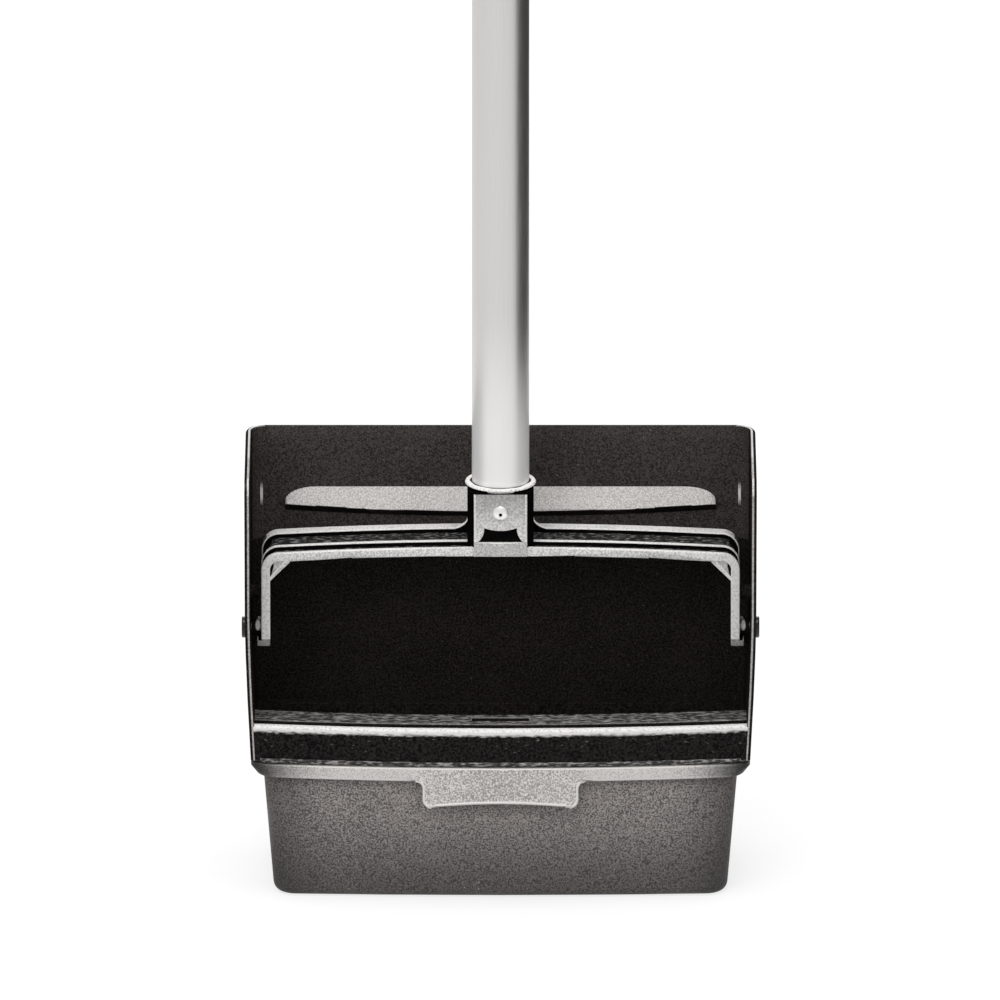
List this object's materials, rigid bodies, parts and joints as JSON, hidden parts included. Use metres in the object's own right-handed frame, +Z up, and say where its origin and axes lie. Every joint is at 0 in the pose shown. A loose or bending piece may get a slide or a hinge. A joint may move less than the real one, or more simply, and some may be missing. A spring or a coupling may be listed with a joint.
{
  "type": "lobby dustpan",
  "caption": "Upright lobby dustpan: an open scoop on a lift-off waste bin, with a long tube handle on a yoke that swings between the side walls.",
  "frame": {"origin": "on the floor, under the middle of the part's box", "axes": "+Z up along the handle, +X to the right, and the open side of the scoop faces -Y"},
  "size_m": [0.289, 0.1204, 0.9385],
  "materials": {
    "bin_plastic": "fine moulded texture, dark grey",
    "scoop_plastic": "glossy moulded black",
    "yoke_plastic": "glossy moulded black",
    "tube_metal": "satin anodised",
    "grip_vinyl": "soft matt black vinyl",
    "cap_plastic": "moulded black",
    "rivet_metal": "bright",
    "steel": "zinc plated",
    "spacer_nylon": "natural white nylon"
  },
  "bodies": {
    "bin": {"bin": "bin_plastic"},
    "pan": {"scoop": "scoop_plastic", "pivot_pin_left": "steel", "pivot_pin_right": "steel", "pivot_cap_left": "scoop_plastic", "pivot_cap_right": "scoop_plastic", "pivot_spacer_left": "spacer_nylon", "pivot_spacer_right": "spacer_nylon"},
    "handle": {"yoke": "yoke_plastic", "handle_tube": "tube_metal", "hand_grip": "grip_vinyl", "hanger_cap": "cap_plastic", "socket_rivet": "rivet_metal", "rivet_stem": "steel"}
  },
  "joints": [
    {"name": "scoop_lift", "type": "slide", "parent": "bin", "child": "pan", "axis": [0, 0, 1], "range_m": [0, 0.1]},
    {"name": "handle_swing", "type": "hinge", "parent": "pan", "child": "handle", "pos_m": [0, -0.00733, 0.1475], "axis": [1, 0, 0], "range_deg": [0, 98]}
  ]
}
